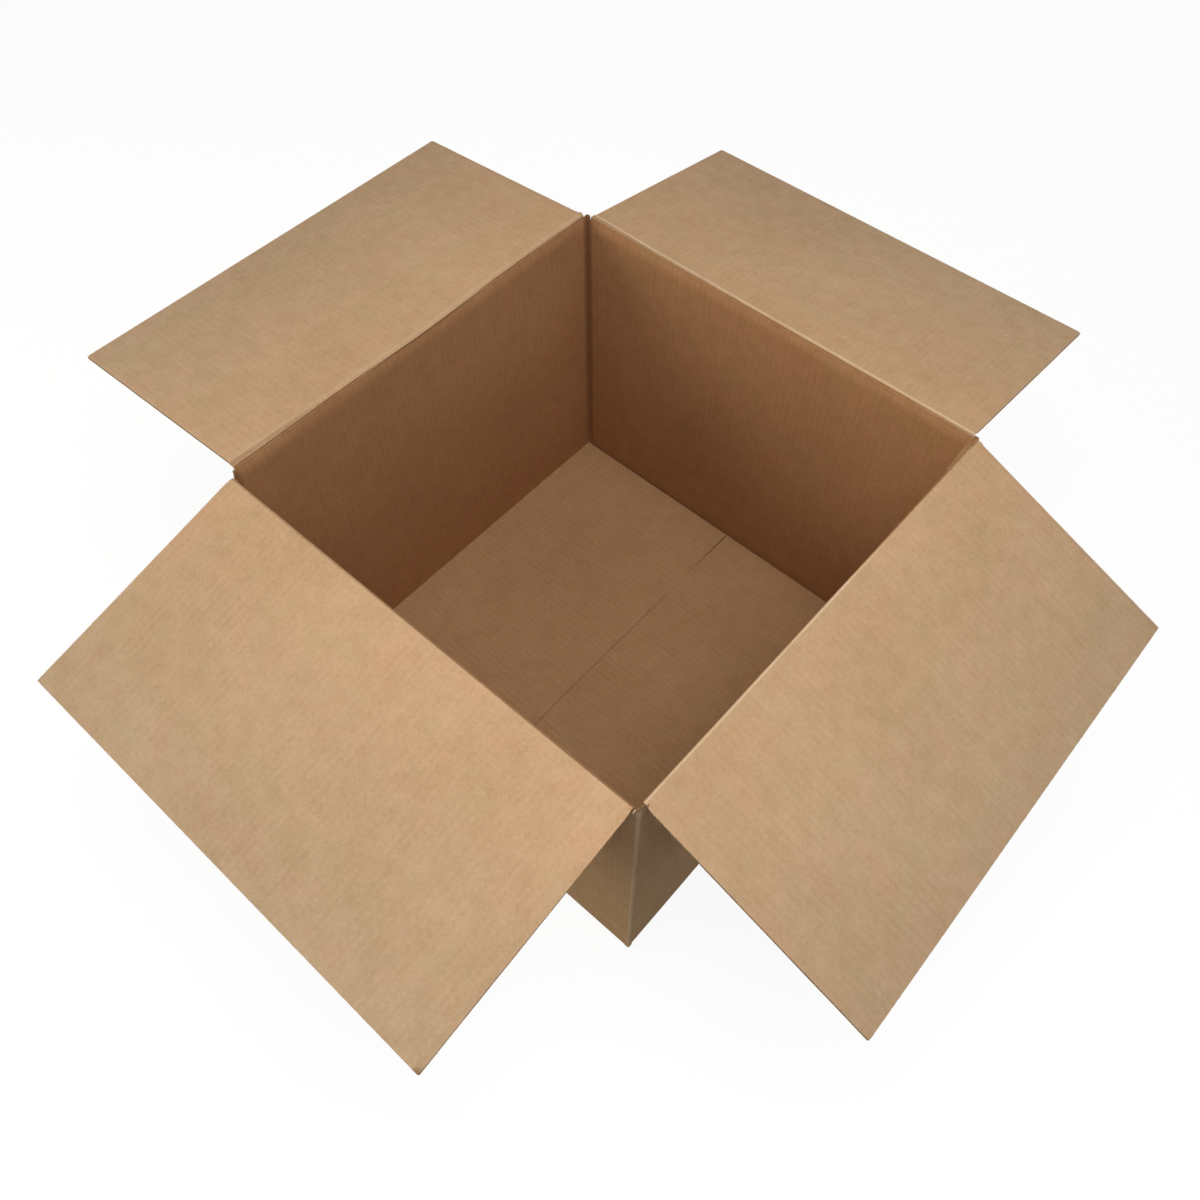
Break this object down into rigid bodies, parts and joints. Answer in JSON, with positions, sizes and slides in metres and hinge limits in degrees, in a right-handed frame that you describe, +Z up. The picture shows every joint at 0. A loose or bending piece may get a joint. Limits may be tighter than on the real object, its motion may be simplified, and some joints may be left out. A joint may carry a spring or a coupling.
{
  "type": "open cardboard box",
  "caption": "Open square shipping carton of plain corrugated board, with hinged top flaps, glued bottom flaps and a glued corner joint, for packing goods.",
  "frame": {"origin": "centre of the base, on the face that the carton stands on", "axes": "+Z up, +X from the left wall to the right wall, +Y from the front wall to the back wall"},
  "size_m": [1.003, 1.0115, 0.3978],
  "materials": {
    "kraft_board": "matte brown paper"
  },
  "bodies": {
    "carton": {"carton_body": "kraft_board"},
    "front_flap": {"flap_front": "kraft_board"},
    "back_flap": {"flap_back": "kraft_board"},
    "left_flap": {"flap_left": "kraft_board"},
    "right_flap": {"flap_right": "kraft_board"}
  },
  "joints": [
    {"name": "front_crease", "type": "hinge", "parent": "carton", "child": "front_flap", "pos_m": [0, -0.256, 0.391], "axis": [-1, 0, 0], "range_deg": [-54.8, 195.2]},
    {"name": "back_crease", "type": "hinge", "parent": "carton", "child": "back_flap", "pos_m": [0, 0.256, 0.391], "axis": [1, 0, 0], "range_deg": [-60.6, 189.4]},
    {"name": "left_crease", "type": "hinge", "parent": "carton", "child": "left_flap", "pos_m": [-0.256, 0, 0.3953], "axis": [0, 1, 0], "range_deg": [-65.7, 184.3]},
    {"name": "right_crease", "type": "hinge", "parent": "carton", "child": "right_flap", "pos_m": [0.256, 0, 0.3953], "axis": [0, -1, 0], "range_deg": [-47.1, 202.9]}
  ]
}
